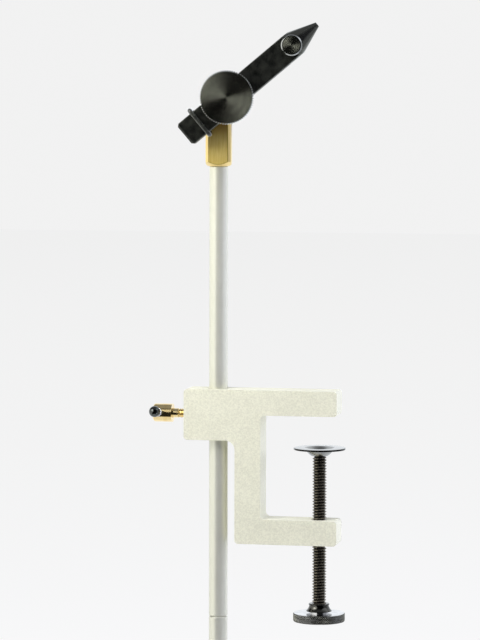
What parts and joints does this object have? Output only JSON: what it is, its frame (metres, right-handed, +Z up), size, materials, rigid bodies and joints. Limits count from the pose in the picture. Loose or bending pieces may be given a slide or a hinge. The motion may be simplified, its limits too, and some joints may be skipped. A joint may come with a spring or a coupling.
{
  "type": "fly tying vise",
  "caption": "Fly tying vise: table clamp, sliding two-piece stem, brass head post and tilting screw jaws with a knurled thumb knob.",
  "frame": {"origin": "where the clamp screw's axis meets the table seat, the underside of the upper arm", "axes": "+X along the clamp's arms to their free ends, -Y towards the tyer, +Z up along the stem"},
  "size_m": [0.099, 0.0494, 0.3507],
  "materials": {
    "clamp_aluminium": "bead-blasted, pale warm grey, fine mottled grain",
    "stem_aluminium": "satin, fine turned lines",
    "brass": "machined, brushed along its length",
    "jaw_steel": "black oxide, satin",
    "knob_steel": "black oxide over turned faces and knurl",
    "screw_steel": "black oxide, lightly oiled",
    "black_chrome": "glossy black plating",
    "bright_steel": "bright",
    "ball_plastic": "glossy black",
    "rubber": "smooth, slightly shiny"
  },
  "bodies": {
    "clamp": {"clamp_frame": "clamp_aluminium"},
    "lower_stem": {"stem_lower": "stem_aluminium", "stem_joint_stud": "screw_steel"},
    "head": {"stem_upper": "stem_aluminium", "head_post": "brass", "stem_grub_screw": "screw_steel"},
    "jaw_holder": {"rear_jaw": "jaw_steel", "jaw_pivot_screw": "screw_steel", "jaw_pivot_washer": "bright_steel", "jaw_rubber_ring": "rubber"},
    "closing_jaw": {"front_jaw": "jaw_steel"},
    "adjust_screw": {"adjust_stud": "screw_steel"},
    "adjust_grip": {"adjust_knob": "knob_steel"},
    "thumb_screw": {"thumb_stud": "screw_steel"},
    "thumb_grip": {"thumb_knob": "knob_steel"},
    "spindle": {"clamp_screw": "screw_steel"},
    "spindle_grip": {"clamp_knob": "black_chrome", "clamp_knob_collar": "black_chrome"},
    "pad": {"swivel_pad": "black_chrome"},
    "lock_screw": {"lock_screw_stud": "brass"},
    "lock_grip": {"lock_screw_head": "brass"},
    "cross_bar": {"lock_bar": "bright_steel", "lock_bar_ball_front": "ball_plastic", "lock_bar_ball_rear": "ball_plastic"}
  },
  "joints": [
    {"name": "stem_slide", "type": "slide", "parent": "clamp", "child": "lower_stem", "axis": [0, 0, 1], "range_m": [-0.112, 0.14]},
    {"name": "stem_turn", "type": "hinge", "parent": "lower_stem", "child": "head", "pos_m": [-0.0521, 0, 0], "axis": [0, 0, 1], "continuous": true},
    {"name": "jaw_tilt", "type": "hinge", "parent": "head", "child": "jaw_holder", "pos_m": [-0.0521, 0, 0.1542], "axis": [0.1392, -0.9903, 0], "range_deg": [-40, 50]},
    {"name": "front_jaw_rock", "type": "hinge", "parent": "jaw_holder", "child": "closing_jaw", "pos_m": [-0.01228, -0.01415, 0.18563], "axis": [0.6365, 0.0895, -0.766], "range_deg": [0, 1.7]},
    {"name": "adjust_feed", "type": "slide", "parent": "jaw_holder", "child": "adjust_screw", "axis": [0.1392, -0.9903, 0], "range_m": [0, 0.0015]},
    {"name": "adjust_turn", "type": "hinge", "parent": "adjust_screw", "child": "adjust_grip", "pos_m": [-0.01228, -0.01415, 0.18563], "axis": [0.1392, -0.9903, 0], "range_deg": [0, 682]},
    {"name": "thumb_feed", "type": "slide", "parent": "closing_jaw", "child": "thumb_screw", "axis": [0.1392, -0.9903, 0], "range_m": [0, 0.00116]},
    {"name": "thumb_turn", "type": "hinge", "parent": "thumb_screw", "child": "thumb_grip", "pos_m": [-0.04405, -0.01861, 0.15976], "axis": [0.1392, -0.9903, 0], "range_deg": [0, 330]},
    {"name": "clamp_feed", "type": "slide", "parent": "clamp", "child": "spindle", "axis": [0, 0, -1], "range_m": [-0.016, 0.0315]},
    {"name": "clamp_turn", "type": "hinge", "parent": "spindle", "child": "spindle_grip", "pos_m": [0, 0, -0.1], "axis": [0, 0, -1], "range_deg": [-3973, 7823]},
    {"name": "pad_swivel", "type": "hinge", "parent": "spindle", "child": "pad", "pos_m": [0, 0, -0.0196], "axis": [0, 1, 0], "range_deg": [-2, 2]},
    {"name": "lock_feed", "type": "slide", "parent": "clamp", "child": "lock_screw", "axis": [-1, 0, 0], "range_m": [0, 0.0016]},
    {"name": "lock_turn", "type": "hinge", "parent": "lock_screw", "child": "lock_grip", "pos_m": [-0.0758, 0, -0.0003], "axis": [-1, 0, 0], "range_deg": [0, 727]},
    {"name": "cross_bar_slide", "type": "slide", "parent": "lock_grip", "child": "cross_bar", "axis": [0, -0.9903, 0.1392], "range_m": [-0.002, 0.01]}
  ],
  "couplings": [
    {"joint": "front_jaw_rock", "follows": "thumb_feed", "rad_per_m": 24.272},
    {"joint": "thumb_turn", "follows": "thumb_feed", "rad_per_m": 4947.4},
    {"joint": "adjust_turn", "follows": "adjust_feed", "rad_per_m": 7915.8},
    {"joint": "clamp_turn", "follows": "clamp_feed", "rad_per_m": 4333.2},
    {"joint": "lock_turn", "follows": "lock_feed", "rad_per_m": 7915.8}
  ]
}
